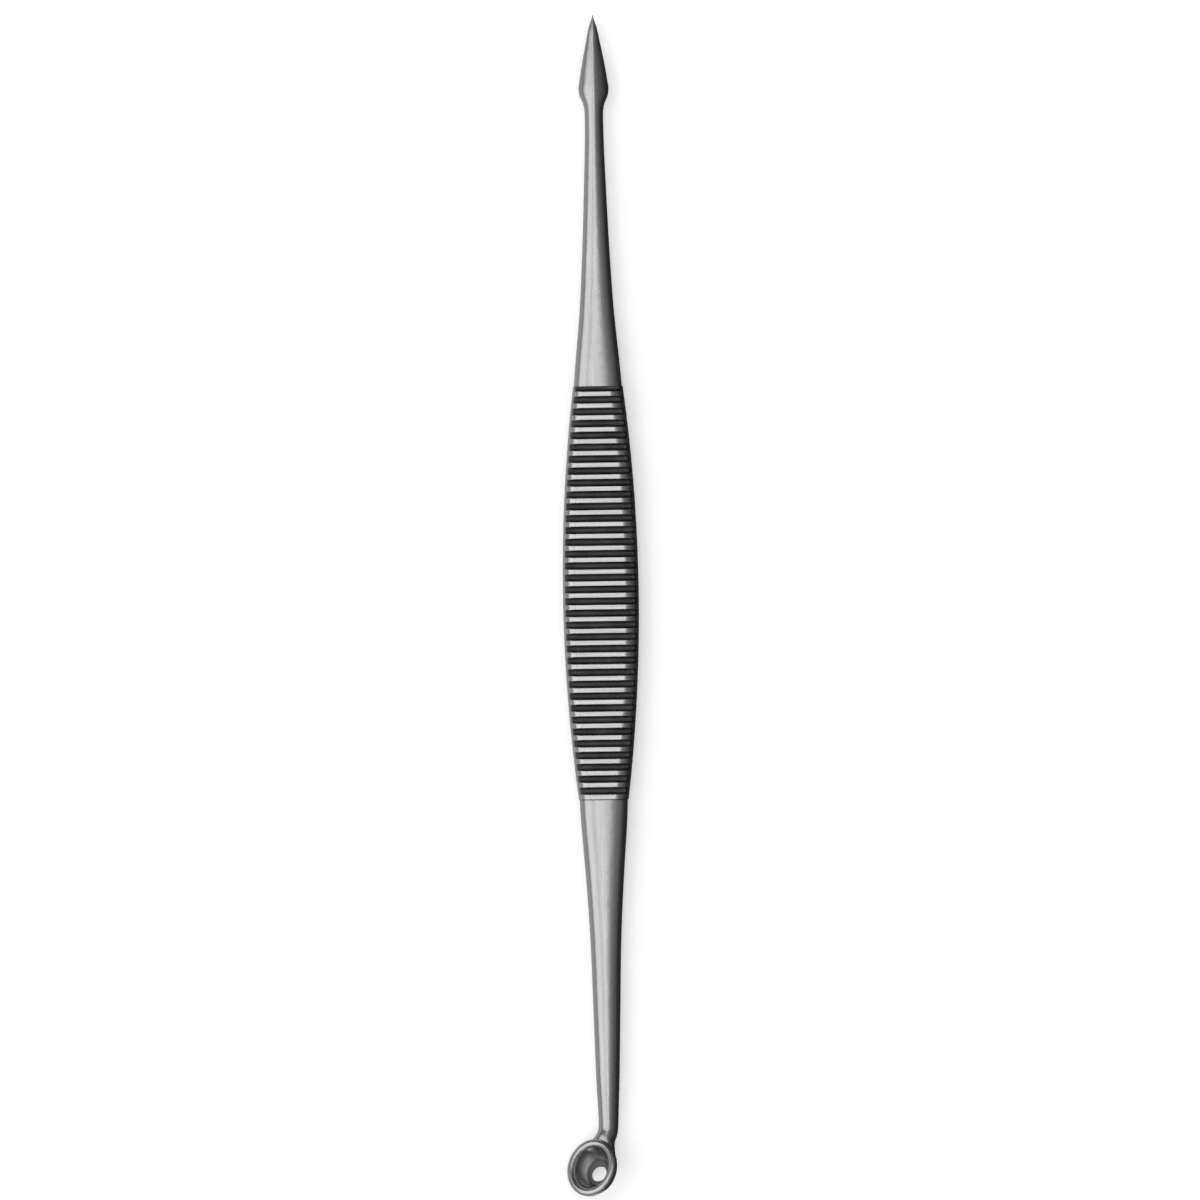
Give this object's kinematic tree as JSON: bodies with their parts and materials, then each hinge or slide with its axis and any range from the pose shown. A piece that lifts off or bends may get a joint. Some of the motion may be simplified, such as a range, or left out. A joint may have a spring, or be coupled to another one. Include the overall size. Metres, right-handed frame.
{
  "type": "blackhead extractor",
  "caption": "Double-ended steel blackhead extractor: a flat ribbed grip with a slim lance on one shank and a small tilted pierced spoon on the other.",
  "frame": {"origin": "on the grip's back, under its middle rib and on the tool's long axis", "axes": "+Y along the tool towards the lance, +Z out of the grip's front, +X to the right seen from the front with the lance up"},
  "size_m": [0.0095, 0.1399, 0.0065],
  "materials": {
    "grip_steel": "satin, with polished rib crests and darker grooves",
    "lance_steel": "satin to polished",
    "spoon_steel": "satin to polished"
  },
  "bodies": {
    "grip": {"ribbed_grip": "grip_steel"},
    "lance": {"lance_end": "lance_steel"},
    "spoon": {"spoon_end": "spoon_steel"}
  },
  "joints": [
    {"name": "lance_release", "type": "slide", "parent": "grip", "child": "lance", "axis": [0, 1, 0], "range_m": [0, 0.008]},
    {"name": "spoon_release", "type": "slide", "parent": "grip", "child": "spoon", "axis": [0, -1, 0], "range_m": [0, 0.008]}
  ]
}
